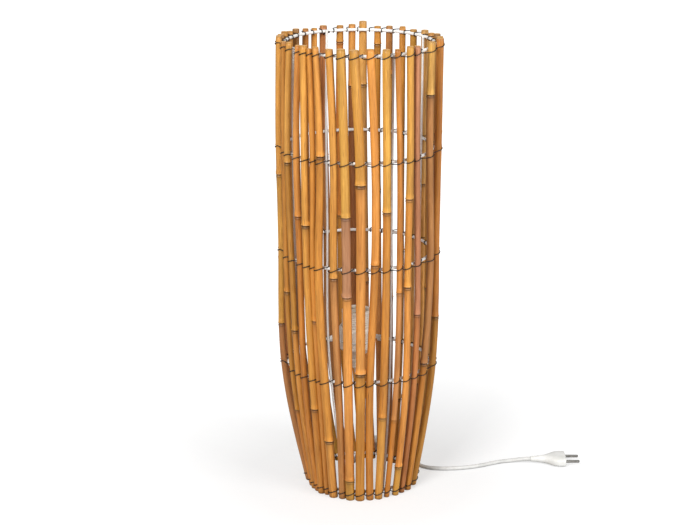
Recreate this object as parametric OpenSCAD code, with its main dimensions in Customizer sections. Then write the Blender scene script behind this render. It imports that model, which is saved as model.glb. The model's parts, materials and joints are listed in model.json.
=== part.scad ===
// Cane table lamp: a round cage of upright canes laced to five steel hoops, with a
// lampholder on a wire bracket inside and a mains flex that leaves at the floor.
// +Z is up, the origin is on the floor under the middle of the cage, -Y is the front.

/* [Cage] */
// Height of the top hoop, measured to the middle of its wire
top_hoop_z = 599; // [590:1:605]
// Height of the shoulder hoop, where the canes bend inwards
shoulder_z = 172; // [165:1:178]
// Height of the bottom hoop
bottom_hoop_z = 9; // [9:1:12]
// Radius of the top hoop, to the middle of its wire
top_hoop_r = 96.3; // [95:0.1:98]
// Radius of the shoulder hoop
shoulder_r = 92.9; // [91:0.1:95]
// Radius of the bottom hoop
bottom_hoop_r = 67; // [65:0.5:69]
// Thickness of the hoop wire
hoop_wire = 4; // [3.6:0.1:4.2]
// Thickness of the four upright wires
upright_wire = 3; // [2.6:0.1:3.2]
// Where the first upright stands, in degrees round from the front
upright_turn = 27; // [24:1:30]

/* [Canes] */
// Height of a full-length cane
cane_top = 609; // [606:1:612]
// Space between a cane and the hoops that it is tied to
cane_gap = 0.2; // [0.1:0.05:0.3]
// How far a joint in the cane stands out
joint_swell = 0.5; // [0.3:0.1:0.8]
// How high the cane over the flex is cut off the floor
flex_gap = 7; // [6.5:0.5:7.5]

/* [Lacing] */
// Thickness of the binding wire
lacing_wire = 1.2; // [1:0.1:1.4]

/* [Lampholder] */
// Height of the lampholder's mouth
holder_top = 242; // [240:1:244]
// Diameter of the threaded skirt
skirt_d = 39; // [38.6:0.1:39.2]
// Diameter of the two shade rings
shade_ring_d = 49; // [48:0.5:50]
// Radius inside the screw shell that takes an E27 lamp
lamp_thread_r = 13.3; // [13.3:0.05:13.4]
// Thickness of the bracket wire
bracket_wire = 3; // [2.6:0.1:3.2]

/* [Flex] */
// Diameter of the mains flex
flex_d = 5.5; // [5.2:0.1:5.6]
// Turns of flex lying side by side in the coil
coil_rows = 3; // [3:1:3]
// Radius to the middle of the coil's turns
coil_r = 31; // [30.5:0.5:32]

/* [Plug and switch] */
// Length of the in-line switch
switch_l = 52; // [50:1:54]
// Width of the in-line switch
switch_w = 26; // [25:1:27]
// Height of the in-line switch
switch_h = 18; // [18:0.5:18.5]
// Turn of the rocker from one side to the other, in degrees
rocker_throw = 16; // [12:1:16]
// Length of the plug pins
pin_l = 19; // [18.5:0.5:19]
// Diameter of the plug pins
pin_d = 4; // [3.9:0.05:4]
// Distance between the plug pins
pin_spacing = 19; // [18.6:0.2:19]

/* [Hidden] */
$fn = 40;

// Each cane: degrees round from the front where it crosses the five hoops, from the
// top hoop down, then its diameter, how far its top stops short, and its joints' heights.
CANES = [
    [[-86, -88, -88, -85, -86], 8.0, 1, [226, 428]],
    [[-69, -68, -68, -61, -69], 7.0, 2, [117, 280]],
    [[-59, -61, -58, -52, -61], 8.0, 0, [234, 455]],
    [[-48, -49.5, -47.5, -45, -53.5], 8.3, 1, [389]],
    [[-42, -40.5, -40, -36, -46], 10.0, 0, [131, 380]],
    [[-37, -34, -35, -31, -39], 7.5, 3, [255]],
    [[-31.5, -27.5, -29.5, -25.5, -30], 11.5, 0, [88, 473]],
    [[-21, -17.5, -18, -15, -20], 9.5, 1, [316]],
    [[-12.5, -9.5, -8.5, -7.5, -11.5], 11.5, 0, [30, 292, 397]],
    [[-3.5, 1, 1.5, 1.5, -1.5], 12.0, 1, [189, 439]],
    [[7.5, 11.5, 11.5, 8.5, 8.5], 10.0, 0, [334]],
    [[18.5, 20, 20, 19, 18], 10.0, 1, [124, 402]],
    [[27.5, 30.5, 31, 30, 28], 7.3, 2, [117, 293]],
    [[37.5, 39, 38, 38.5, 38.5], 9.0, 0, [44, 299, 415]],
    [[44.5, 46, 48.5, 47.5, 48], 8.0, 1, [258]],
    [[61, 61, 65.5, 58, 58], 9.5, 0, [186, 543]],
    [[82.5, 83.5, 83.5, 81, 73.5], 9.5, 2, [237]],
    [[93, 93, 93, 92, 91.5], 9.0, 3, [210, 480]],
    [[104, 104, 104, 103, 101.5], 9.5, 3, [350]],
    [[114, 114, 113.5, 113, 111.5], 8.5, 5, [260, 520]],
    [[124, 124, 123.5, 123, 121], 10.0, 4, [120, 400]],
    [[136, 135.5, 135, 134, 130.5], 9.0, 6, [455]],
    [[146, 145.5, 145, 144, 140], 8.5, 4, [90, 300]],
    [[157, 156.5, 155.5, 154, 149], 9.5, 5, [230, 540]],
    [[166, 165.5, 164.5, 163, 158.5], 9.0, 6, [380, 580]],
    [[177, 176, 175, 173.5, 168.5], 10.5, 0, [250, 525]],
    [[185, 184.5, 184, 183, 178.5], 9.5, 4, [150, 523]],
    [[194, 194, 193.5, 192.5, 188], 9.0, 5, [345, 583]],
    [[207, 206, 204.5, 203.5, 198], 10.0, 4, [60, 430]],
    [[215, 214.5, 213.5, 212, 207.5], 8.0, 6, [280]],
    [[223, 222.5, 222, 221, 217], 8.5, 5, [190, 560]],
    [[233, 232.5, 231.5, 230, 226.5], 9.0, 3, [360]],
    [[241, 240.5, 240, 239, 236], 8.5, 4, [100, 470]],
    [[249.5, 249, 248.5, 248, 245.5], 9.0, 2, [240]],
    [[258, 257.5, 257, 258, 255], 8.5, 3, [410]],
    [[266.5, 265.5, 265.5, 269, 265.5], 8.0, 2, [140, 310]]
];
// The cane that stops above the floor, where the flex passes out underneath it.
SHORT_CANE = 27;

// The hoops stand at these parts of the way from the shoulder up to the top.
HOOP_STEPS = [1, 0.684, 0.358, 0];
HOOP_Z = concat([for (s = HOOP_STEPS) shoulder_z + s * (top_hoop_z - shoulder_z)],
    [bottom_hoop_z]);
// The bent hoops swell a little between the shoulder and the top, and none is quite in line:
// these are how much wider each one is, and how far it sits to the right.
HOOP_BULGE = [0, 1.3, 1, 0];
HOOP_X = [-0.9, -2.1, -1.7, -1.8, 2.6];
HOOP_R = concat([for (i = [0 : 3])
    shoulder_r + HOOP_STEPS[i] * (top_hoop_r - shoulder_r) + HOOP_BULGE[i]],
    [bottom_hoop_r]);
WIRE_R = hoop_wire / 2;
COUNT = len(CANES);
// Turns each stem's seam away from the plane that the stem leans in.
SEAM_TURN = 40;

// The lampholder's middle is a little to the left. Its heights are worked down from its mouth.
HOLDER_X = -4;
RING_TOP = holder_top - 22;
RING_SEAT = RING_TOP - 17;
BRACKET_Z = RING_SEAT - 2;
LOWER_RING_TOP = BRACKET_Z - 2;
LOWER_RING_BOTTOM = LOWER_RING_TOP - 12;
SKIRT_BOTTOM = LOWER_RING_BOTTOM + 3;
BASE_BOTTOM = SKIRT_BOTTOM - 14;
GRIP_BOTTOM = BASE_BOTTOM - 16;
SKIRT_R = skirt_d / 2;
SKIRT_WALL = 2;
RING_BORE_R = SKIRT_R + 0.3;
CHAMFER = 3;
FLEX_R = flex_d / 2;
GRIP_BORE_R = FLEX_R + 0.1;
// The bracket's front arm, and its two back ones, whose hooks have a double turn of wire.
ARM_TURNS = [1, 161, 203.5];
HOOK_SPREAD = 0.8;
ARM_KNEE_R = 30;
BRACKET_RING_R = SKIRT_R + 2.5;
HOOK_R = WIRE_R + bracket_wire / 2 - 0.1;

// Where the flex lies: from inside the grip down to the coil, then from the coil to the plug.
COIL_X = -50;
COIL_Y = 130;
SWITCH_X = 24;
SWITCH_Y = 96;
SWITCH_SEAM = switch_h / 2;
PIVOT_Z = 14.8;
PIVOT_R = 1.2;
PLUG_X = 238;
PLUG_Y = 50;
PLUG_Z = 7;
FLEX_TO_COIL = [
    [-4, 0, 171], [-4, 0, 156], [-1, -1, 140], [4.5, -3, 120], [8.5, -4, 98],
    [8, -1, 76], [4, 5, 55], [0, 14, 36], [-4, 26, 19], [-7, 39, 8],
    [-8.5, 52, 3.5], [-9.5, 66, 2.8], [-10.5, 84, 2.8], [-10.8, 104, 2.8],
    [-10.5, 118, 2.8], [-10.7, 130, 2.8], [-12.2, 138, 2.8]
];
FLEX_TO_PLUG = [
    [-50, 93.5, 8.3], [-32, 94, 8.3], [-14, 95.5, 8.6], [-2, 96, 9], [24, 96, 9],
    [50, 96, 9], [61, 94, 7.2], [70, 87, 4.2], [75, 77, 2.8], [76, 64, 2.8],
    [77, 50, 2.8], [81, 37, 2.8], [90, 28, 2.8], [103, 25, 2.8], [120, 25, 2.8],
    [137, 27, 2.8], [154, 31, 2.8], [170, 37, 2.8], [184, 44, 2.8],
    [197, 50, 2.8], [210, 53, 3], [224, 52, 5.2], [238, 50, 7], [246, 50, 7]
];

// ---- helpers ----

// The point at a turn round from the front, a radius and a height.
function spot(turn, r, z) = [r * sin(turn), -r * cos(turn), z];

// The point at a turn round from the front of a hoop, `out` further out than its wire and
// `up` above it.
function by_hoop(hoop, turn, out, up) =
    [HOOP_X[hoop], 0, 0] + spot(turn, HOOP_R[hoop] + out, HOOP_Z[hoop] + up);

// The point at height z on the line through a and b.
function at_height(a, b, z) = a + (b - a) * (z - a.z) / (b.z - a.z);

function unit(v) = v / norm(v);

// Draws its children, which run up +Z from 0, from point a towards point b.
module along(a, b) {
    d = b - a;
    translate(a)
        rotate([0, acos(d.z / norm(d)), atan2(d.y, d.x)])
            children();
}

module rod(a, b, r) {
    along(a, b) cylinder(h = norm(b - a), r = r);
}

module tube(outer_r, inner_r, bottom, top) {
    translate([0, 0, bottom])
        difference() {
            cylinder(h = top - bottom, r = outer_r);
            translate([0, 0, -1]) cylinder(h = top - bottom + 2, r = inner_r);
        }
}

module rounded_plate(l, w, h, r) {
    linear_extrude(h) {
        square([l - 2 * r, w], center = true);
        square([l, w - 2 * r], center = true);
        for (x = [-1, 1], y = [-1, 1])
            translate([x * (l / 2 - r), y * (w / 2 - r)]) circle(r);
    }
}

// Points on a smooth curve through pts, with `steps` of them from each point to the next.
function pick(pts, i) = pts[max(0, min(len(pts) - 1, i))];
function blend(a, b, c, d, t) =
    0.5 * (2 * b + (c - a) * t + (2 * a - 5 * b + 4 * c - d) * t * t
        + (3 * b - a - 3 * c + d) * t * t * t);
function smooth(pts, steps) = concat(
    [for (i = [0 : len(pts) - 2], s = [0 : steps - 1])
        blend(pick(pts, i - 1), pts[i], pts[i + 1], pick(pts, i + 2), s / steps)],
    [pts[len(pts) - 1]]);

// A round wire swept along pts as one closed solid, its rings carried along without twist.
function heading(pts, i) =
    let (last = len(pts) - 1)
    i == 0 ? unit(pts[1] - pts[0])
    : i == last ? unit(pts[last] - pts[last - 1])
    : unit(unit(pts[i + 1] - pts[i]) + unit(pts[i] - pts[i - 1]));
function square_to(t) = unit(cross(t, abs(t.z) < 0.8 ? [0, 0, 1] : [1, 0, 0]));
function carry(n, t, u) = unit(n - (n * u) / (1 + t * u) * (t + u));
module wire(pts, r, sides) {
    last = len(pts) - 1;
    heads = [for (i = [0 : last]) heading(pts, i)];
    norms = [for (i = 0, n = square_to(heads[0]); i <= last;
        n = i < last ? carry(n, heads[i], heads[i + 1]) : n, i = i + 1) n];
    rings = [for (i = [0 : last], k = [0 : sides - 1])
        pts[i] + r * (cos(360 * k / sides) * norms[i]
            + sin(360 * k / sides) * cross(heads[i], norms[i]))];
    walls = [for (i = [0 : last - 1], k = [0 : sides - 1])
        let (j = (k + 1) % sides, a = i * sides, b = a + sides)
        each [[a + k, b + k, b + j], [a + k, b + j, a + j]]];
    polyhedron(rings, concat([[for (k = [0 : sides - 1]) k]], walls,
        [[for (k = [0 : sides - 1]) (last + 1) * sides - 1 - k]]));
}

// ---- canes ----

function cane_r(c) = c[1] / 2;
function cane_spot(c, hoop) = by_hoop(hoop, c[0][hoop], WIRE_R + cane_gap + cane_r(c), 0);

// One straight run of cane, with a ring where each joint falls on it.
module stem(c, low, high) {
    r = cane_r(c);
    rise = (high.z - low.z) / norm(high - low);
    joints = [for (z = c[3]) if (z > low.z + 8 && z < high.z - 8) (z - low.z) / rise];
    swells = [for (j = joints) each [[r, j - 4], [r + joint_swell, j], [r, j + 4]]];
    along(low, high)
        rotate([0, 0, SEAM_TURN])
            rotate_extrude()
                polygon(concat([[0, 0], [r, 0]], swells,
                    [[r, norm(high - low)], [0, norm(high - low)]]));
}

// A cane runs straight from hoop to hoop. Each bend is a knuckle a little thicker than
// the stems, which stop just short of its middle.
module cane(index) {
    c = CANES[index];
    trim = 0.5;
    bends = [for (hoop = [1, 2, 3]) cane_spot(c, hoop)];
    top = at_height(cane_spot(c, 0), bends[0], cane_top - c[2]);
    foot = at_height(bends[2], cane_spot(c, 4), -4);
    floor_z = index == SHORT_CANE ? flex_gap : 0;
    ends = [top, bends[0], bends[1], bends[2], foot];
    color([0.80, 0.55, 0.27]) {
        for (i = [0 : 2]) {
            step = unit(ends[i] - ends[i + 1]) * trim;
            stem(c, ends[i + 1] + step, ends[i] - (i == 0 ? [0, 0, 0] : step));
        }
        for (b = bends) translate(b) sphere(cane_r(c) + 0.15);
        difference() {
            stem(c, foot, bends[2] - unit(bends[2] - foot) * trim);
            translate([foot.x - 20, foot.y - 20, floor_z - 30]) cube([40, 40, 30]);
        }
    }
}

// ---- steel frame ----

module hoop(index) {
    color("white")
        translate([HOOP_X[index], 0, HOOP_Z[index]])
            rotate_extrude() translate([HOOP_R[index], 0]) circle(WIRE_R);
}

// Four wires welded inside the hoops, straight from each hoop to the next.
module uprights() {
    r = upright_wire / 2;
    inset = r + WIRE_R - 0.3;
    color("white")
        for (turn = [upright_turn : 90 : upright_turn + 270]) {
            spots = [for (hoop = [0 : 4]) by_hoop(hoop, turn, -inset, 0)];
            top = spots[0] + [0, 0, WIRE_R];
            foot = spots[4] - [0, 0, WIRE_R];
            ends = [top, spots[1], spots[2], spots[3], foot];
            for (i = [0 : 3]) {
                step = unit(ends[i] - ends[i + 1]) * 0.3;
                low = ends[i + 1] + (i == 3 ? [0, 0, 0] : step);
                high = ends[i] - (i == 0 ? [0, 0, 0] : step);
                rod(low, high, r);
            }
            for (i = [1 : 3]) translate(ends[i]) sphere(r + 0.1);
        }
}

// At each hoop one wire crosses the front of a cane, drops behind the hoop in the gap
// beside it, and comes out underneath to cross the next.
function lacing_route(hoop) =
    let (half = lacing_wire / 2, clear = WIRE_R + half + 0.4)
    [for (i = [0 : COUNT - 1])
        let (c = CANES[i],
            turn = c[0][hoop],
            next = CANES[(i + 1) % COUNT][0][hoop] + (i == COUNT - 1 ? 360 : 0),
            gap = (turn + next) / 2,
            middle = cane_spot(c, hoop),
            out = spot(turn, 1, 0),
            side = [cos(turn), sin(turn), 0],
            w = (cane_r(c) + half + 0.2) / cos(30))
        each [
            middle + w * (cos(60) * out - sin(60) * side) - [0, 0, 2],
            middle + w * out,
            middle + w * (cos(60) * out + sin(60) * side) + [0, 0, 2],
            by_hoop(hoop, gap, 0, clear),
            by_hoop(hoop, gap, -clear, 0),
            by_hoop(hoop, gap, 0, -clear)
        ]];
module lacing_wires() {
    color([0.35, 0.33, 0.32])
        for (hoop = [0 : 4]) wire(lacing_route(hoop), lacing_wire / 2, 4);
}

// ---- lampholder ----

module at_holder() {
    translate([HOLDER_X, 0, 0]) children();
}

// A turn of the bracket's wire round the shoulder hoop's underside and inner side.
module hook(turn) {
    translate([HOOP_X[3], 0, HOOP_Z[3]])
        rotate([0, 0, turn - 90])
            translate([HOOP_R[3], 0, 0])
                rotate([90, 0, 0])
                    rotate([0, 0, 125])
                        rotate_extrude(angle = 130)
                            translate([HOOK_R, 0]) circle(bracket_wire / 2);
}

// A ring held between the shade rings, with three arms down to the shoulder hoop, each
// bent round under the hoop.
module holder_bracket() {
    r = bracket_wire / 2;
    arm_r = r - 0.1;
    centre = [HOLDER_X, 0, 0];
    color("white") {
        at_holder()
            translate([0, 0, BRACKET_Z])
                rotate_extrude() translate([BRACKET_RING_R, 0]) circle(r);
        for (i = [0 : 2]) {
            turn = ARM_TURNS[i];
            inner = centre + spot(turn, BRACKET_RING_R, BRACKET_Z);
            knee = centre + spot(turn, ARM_KNEE_R, BRACKET_Z);
            lands = by_hoop(3, turn, HOOK_R * cos(120), HOOK_R * sin(120));
            rod(inner, knee - unit(knee - inner) * 0.3, arm_r);
            translate(knee) sphere(r);
            rod(knee + unit(lands - knee) * 0.3, lands - unit(lands - knee) * 0.3, arm_r);
            translate(lands) sphere(r + 0.1);
            if (i == 0) hook(turn);
            else for (side = [-1, 1]) hook(turn + side * HOOK_SPREAD);
        }
    }
}

module holder_skirt() {
    inner = SKIRT_R - SKIRT_WALL;
    lip = 2;
    groove = 0.6;
    pitch = 2.5;
    threads = floor((holder_top - 8 - RING_TOP) / pitch);
    profile = concat(
        [[inner, SKIRT_BOTTOM], [SKIRT_R - groove, SKIRT_BOTTOM],
            [SKIRT_R - groove, SKIRT_BOTTOM + 1], [SKIRT_R, SKIRT_BOTTOM + 2]],
        [for (i = [0 : threads - 1])
            let (z = RING_TOP + i * pitch + 0.5)
            each [[SKIRT_R, z], [SKIRT_R - groove, z + 0.6], [SKIRT_R - groove, z + 1.2],
                [SKIRT_R, z + 1.8]]],
        [[SKIRT_R, holder_top - 1], [SKIRT_R - 1, holder_top],
            [inner - lip, holder_top], [inner - lip, holder_top - 3], [inner, holder_top - 5]]);
    color([0.93, 0.90, 0.82]) at_holder() rotate_extrude() polygon(profile);
}

// A shade ring with finger ribs round its rim, screwed on the skirt from above.
module shade_ring_upper() {
    r = shade_ring_d / 2;
    color([0.93, 0.90, 0.82])
        at_holder()
            difference() {
                translate([0, 0, RING_SEAT])
                    rotate_extrude()
                        polygon([[RING_BORE_R, 0], [r, 0], [r, 12], [r - CHAMFER, 17],
                            [RING_BORE_R, 17]]);
                for (a = [0 : 30 : 330])
                    rotate([0, 0, a])
                        translate([r + 0.8, 0, RING_SEAT - 1]) cylinder(h = 11, r = 1.4);
            }
}

module shade_ring_lower() {
    r = shade_ring_d / 2;
    color([0.93, 0.90, 0.82])
        translate([HOLDER_X, 0, LOWER_RING_BOTTOM])
            rotate_extrude()
                polygon([[RING_BORE_R, 0], [r - CHAMFER - 1, 0], [r, CHAMFER + 1], [r, 12],
                    [RING_BORE_R, 12]]);
}

// The cap that closes the skirt from below, with a spigot up inside it and a bore for the grip.
module holder_base() {
    spigot = SKIRT_R - SKIRT_WALL - 0.1;
    color([0.93, 0.90, 0.82])
        translate([HOLDER_X, 0, BASE_BOTTOM])
            rotate_extrude()
                polygon([[5, 0], [9.5, 0], [11, 3], [17.5, 9], [18.8, 13.9], [spigot, 13.9],
                    [spigot, 19], [spigot - 2, 19], [spigot - 2, 12], [11, 9], [8, 5], [5, 5]]);
}

// The sleeve that clamps the flex, with a neck up into the base.
module cord_grip() {
    color([0.90, 0.88, 0.82])
        translate([HOLDER_X, 0, GRIP_BOTTOM])
            rotate_extrude()
                polygon([[GRIP_BORE_R, 0], [5.4, 0], [6.7, 2], [7.2, 9], [8.4, 12], [8.4, 16],
                    [4.9, 16], [4.9, 23], [GRIP_BORE_R, 23]]);
}

// The moulded block that carries the contacts, with a hole for each terminal screw and a
// collar that the screw shell stands on.
module contact_block() {
    shell_r = lamp_thread_r + 0.6;
    color([0.95, 0.94, 0.90])
        translate([HOLDER_X, 0, BASE_BOTTOM])
            difference() {
                union() {
                    translate([0, 0, 19.1]) cylinder(h = 8, r = 16.9);
                    translate([0, 0, 27])
                        rotate_extrude()
                            polygon([[0, 0], [shell_r, 0], [shell_r, 6.5], [lamp_thread_r, 6.5],
                                [lamp_thread_r, 5.8], [11, 5.8], [11, 3], [0, 3]]);
                }
                for (x = [-1, 1])
                    translate([x * 9, 0, 18]) cylinder(h = 7, r = 1.6);
            }
}

// The screw shell, the spring tongue that meets the lamp's tip, and two terminal screws.
module lamp_contacts() {
    floor_z = BASE_BOTTOM + 30.1;
    color([0.80, 0.66, 0.30]) at_holder() {
        tube(lamp_thread_r + 0.6, lamp_thread_r, BASE_BOTTOM + 33.6, holder_top - 9);
        translate([-3, -2, floor_z]) cube([6, 4, 0.5]);
        translate([-1.5, -2, floor_z + 0.4]) cube([3, 4, 2.4]);
        for (x = [-1, 1])
            translate([x * 9, 0, BASE_BOTTOM + 16.6]) {
                cylinder(h = 7, r = 1.5);
                cylinder(h = 2, r = 2.6);
            }
    }
}

// ---- flex, coil, switch and plug ----

module flex_lamp_end() {
    color("white") wire(smooth(FLEX_TO_COIL, 2), FLEX_R, 10);
}

module flex_plug_end() {
    color("white") wire(smooth(FLEX_TO_PLUG, 2), FLEX_R, 10);
}

// Turns lying side by side in two layers, as one ring with eased edges.
module flex_coil() {
    half = coil_rows * flex_d / 2;
    ease = FLEX_R;
    top = 2 * flex_d;
    color("white")
        translate([COIL_X, COIL_Y, 0])
            rotate_extrude()
                translate([coil_r, 0])
                    polygon([[-half + ease, 0], [half - ease, 0], [half, ease],
                        [half, top - ease], [half - ease, top], [-half + ease, top],
                        [-half, top - ease], [-half, ease]]);
}

// A strap round the coil's turns, its underside let into them so that it clears the floor.
module coil_tie() {
    l = coil_rows * flex_d;
    h = 2 * flex_d;
    strap = 1;
    color([0.25, 0.25, 0.26])
        translate([COIL_X, COIL_Y, 0])
            rotate([0, 0, 100])
                translate([coil_r, 0, 0])
                    difference() {
                        translate([-l / 2 - strap, -2, 0]) cube([l + 2 * strap, 4, h + strap]);
                        translate([-l / 2, -3, strap]) cube([l, 6, h - strap]);
                    }
}

// Half of the switch's shell with its hollow, its seam at z = 0, and the two flex holes.
module switch_half(h) {
    wall = 1.8;
    difference() {
        rounded_plate(switch_l, switch_w, h, 9);
        translate([0, 0, -1])
            rounded_plate(switch_l - 2 * wall, switch_w - 2 * wall, h + 1 - wall, 9 - wall);
        translate([-switch_l, 0, 0])
            rotate([0, 90, 0]) cylinder(h = 2 * switch_l, r = FLEX_R + 0.1);
    }
}

module switch_base() {
    color([0.94, 0.94, 0.92])
        translate([SWITCH_X, SWITCH_Y, SWITCH_SEAM]) mirror([0, 0, 1]) switch_half(SWITCH_SEAM);
}

module switch_cover() {
    color([0.94, 0.94, 0.92])
        translate([SWITCH_X, SWITCH_Y, 0])
            difference() {
                union() {
                    translate([0, 0, SWITCH_SEAM]) switch_half(switch_h - SWITCH_SEAM);
                    for (y = [-6.9, 4.9])
                        translate([-3, y, PIVOT_Z - 2.2]) cube([6, 2, 3.8]);
                }
                translate([-9.1, -4.9, SWITCH_SEAM]) cube([18.2, 9.8, 20]);
                translate([0, -8, PIVOT_Z])
                    rotate([-90, 0, 0]) cylinder(h = 16, r = PIVOT_R + 0.05);
            }
}

// The rocker rests with one side pressed in. It turns on two trunnions in the cover.
module switch_rocker() {
    color([0.97, 0.97, 0.96])
        translate([SWITCH_X, SWITCH_Y, PIVOT_Z])
            rotate([0, -rocker_throw / 2, 0]) {
                rotate([90, 0, 0])
                    translate([0, 0, -4.5])
                        linear_extrude(9)
                            polygon([[-5, -2], [5, -2], [8, 0], [8.2, 5], [0, 3.9],
                                [-8.2, 5], [-8, 0]]);
                translate([0, -6.6, 0]) rotate([-90, 0, 0]) cylinder(h = 13.2, r = PIVOT_R);
            }
}

// A flat two-pin plug lying on its wide side, with a tapered sleeve where the flex enters.
module plug_body() {
    color("white")
        difference() {
            union() {
                translate([PLUG_X, PLUG_Y, PLUG_Z])
                    rotate([0, 90, 0]) cylinder(h = 22, r1 = FLEX_R + 0.9, r2 = 6);
                hull() {
                    for (y = [-1, 1]) {
                        translate([PLUG_X + 20, PLUG_Y + y * 4, PLUG_Z]) sphere(6, $fn = 24);
                        translate([PLUG_X + 34, PLUG_Y + y * 11.5, PLUG_Z])
                            rotate([0, 90, 0]) cylinder(h = 14, r = 6.8, $fn = 32);
                    }
                }
            }
            translate([PLUG_X - 1, PLUG_Y, PLUG_Z])
                rotate([0, 90, 0]) cylinder(h = 10, r = FLEX_R + 0.1);
        }
}

// Each pin has a thinner root moulded into the body.
module plug_pins() {
    face = PLUG_X + 48;
    color([0.80, 0.80, 0.82])
        for (y = [-1, 1])
            translate([face - 8, PLUG_Y + y * pin_spacing / 2, PLUG_Z])
                rotate([0, 90, 0]) {
                    cylinder(h = 8, r = pin_d / 2 - 0.4);
                    translate([0, 0, 8]) cylinder(h = pin_l - 1, r = pin_d / 2);
                    translate([0, 0, 7 + pin_l])
                        cylinder(h = 1, r1 = pin_d / 2, r2 = pin_d / 2 - 0.8);
                }
}

cane(0);  // cane_01
cane(1);  // cane_02
cane(2);  // cane_03
cane(3);  // cane_04
cane(4);  // cane_05
cane(5);  // cane_06
cane(6);  // cane_07
cane(7);  // cane_08
cane(8);  // cane_09
cane(9);  // cane_10
cane(10);  // cane_11
cane(11);  // cane_12
cane(12);  // cane_13
cane(13);  // cane_14
cane(14);  // cane_15
cane(15);  // cane_16
cane(16);  // cane_17
cane(17);  // cane_18
cane(18);  // cane_19
cane(19);  // cane_20
cane(20);  // cane_21
cane(21);  // cane_22
cane(22);  // cane_23
cane(23);  // cane_24
cane(24);  // cane_25
cane(25);  // cane_26
cane(26);  // cane_27
cane(27);  // cane_28
cane(28);  // cane_29
cane(29);  // cane_30
cane(30);  // cane_31
cane(31);  // cane_32
cane(32);  // cane_33
cane(33);  // cane_34
cane(34);  // cane_35
cane(35);  // cane_36
hoop(0);  // hoop_top
hoop(1);  // hoop_upper
hoop(2);  // hoop_middle
hoop(3);  // hoop_shoulder
hoop(4);  // hoop_bottom
uprights();
lacing_wires();
holder_bracket();
holder_skirt();
shade_ring_upper();
shade_ring_lower();
holder_base();
cord_grip();
contact_block();
lamp_contacts();
flex_lamp_end();
flex_coil();
coil_tie();
flex_plug_end();
switch_base();
switch_cover();
switch_rocker();
plug_body();
plug_pins();
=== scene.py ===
"""Looks for the cane table lamp, built round its CAD frame.

Places and sizes come from the frame, and where it can't give them, from the same numbers
as the CAD's: the turns of the uprights and arms, and the wires' diameters and routes.
Lengths are in metres unless a name ends in _MM or a comment says otherwise.
"""

import json
import math
import random

import bmesh
import bpy
import numpy as np
from mathutils import Matrix, Vector, noise


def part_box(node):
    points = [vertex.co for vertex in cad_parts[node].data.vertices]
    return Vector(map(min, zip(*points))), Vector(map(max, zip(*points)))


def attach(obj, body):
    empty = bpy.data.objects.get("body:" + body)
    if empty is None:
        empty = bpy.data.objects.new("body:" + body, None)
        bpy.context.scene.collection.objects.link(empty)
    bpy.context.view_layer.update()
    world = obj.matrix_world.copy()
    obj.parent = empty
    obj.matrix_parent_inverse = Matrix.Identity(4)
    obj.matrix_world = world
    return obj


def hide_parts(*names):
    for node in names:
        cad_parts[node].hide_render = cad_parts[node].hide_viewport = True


MM = 0.001
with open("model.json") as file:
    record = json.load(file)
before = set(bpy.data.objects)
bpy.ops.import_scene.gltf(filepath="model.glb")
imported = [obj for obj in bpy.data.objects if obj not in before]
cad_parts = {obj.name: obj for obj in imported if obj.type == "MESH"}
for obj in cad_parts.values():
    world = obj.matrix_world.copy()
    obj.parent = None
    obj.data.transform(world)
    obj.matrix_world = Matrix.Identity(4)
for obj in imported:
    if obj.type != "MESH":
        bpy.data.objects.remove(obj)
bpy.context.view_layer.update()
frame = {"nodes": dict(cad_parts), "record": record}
scene = bpy.context.scene
SLOT_OF = {part["node"]: part["material_slot"] for part in frame["record"]["subparts"]}


# ---- helpers ----


def ease(t):
    """0 below 0, 1 above 1 and a smooth step between."""
    t = min(max(t, 0.0), 1.0)
    return t * t * (3 - 2 * t)


def bump(distance, width):
    """1 at distance 0, falling smoothly away over width."""
    return math.exp(-((distance / width) ** 2))


def spot(turn, radius, height):
    """The point at a turn round from the front, in degrees, a radius and a height."""
    a = math.radians(turn)
    return Vector((radius * math.sin(a), -radius * math.cos(a), height))


def middle(node):
    """The middle of a CAD node's box."""
    low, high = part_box(node)
    return (low + high) / 2


def add_piece(name, data, materials, node, also=(), body="root"):
    """Puts in a piece that stands for a CAD node, with the materials given, and hides that node.
    """
    obj = bpy.data.objects.new(name, data)
    scene.collection.objects.link(obj)
    for material in materials:
        data.materials.append(material)
    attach(obj, body)
    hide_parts(node, *also)
    return obj


def skin_mesh(name, rings, loop=False, cap_slot=0):
    """A smooth mesh over rings of points. loop joins its end to its start, and without it
    both ends are closed by a flat cap in the material slot cap_slot."""
    sides = len(rings[0])
    spans = len(rings) if loop else len(rings) - 1
    faces = []
    for i in range(spans):
        a, b = i * sides, (i + 1) % len(rings) * sides
        for k in range(sides):
            j = (k + 1) % sides
            faces.append((a + k, a + j, b + j, b + k))
    walls = len(faces)
    if not loop:
        faces.append(tuple(range(sides)))
        faces.append(tuple(range((len(rings) - 1) * sides, len(rings) * sides)))
    mesh = bpy.data.meshes.new(name)
    mesh.from_pydata([tuple(p) for ring in rings for p in ring], [], faces)
    for polygon in mesh.polygons:
        polygon.use_smooth = polygon.index < walls
        if polygon.index >= walls:
            polygon.material_index = cap_slot
    work = bmesh.new()
    work.from_mesh(mesh)
    bmesh.ops.recalc_face_normals(work, faces=work.faces)
    work.to_mesh(mesh)
    work.free()
    return mesh


def lathe_mesh(name, profile, centre, sides, shift):
    """A closed outline of (radius, height) points turned about an upright axis at centre.
    shift, where there is one, says from a point's radius, height and turn how far it moves
    outwards."""
    rings = []
    for k in range(sides):
        a = math.tau * k / sides
        ring = []
        for r, z in profile:
            r = r + (shift(r, z, a) if shift else 0)
            ring.append((r * math.cos(a), r * math.sin(a), z))
        rings.append(ring)
    mesh = skin_mesh(name, rings, loop=True)
    mesh.transform(Matrix.Translation(centre))
    return mesh


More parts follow.
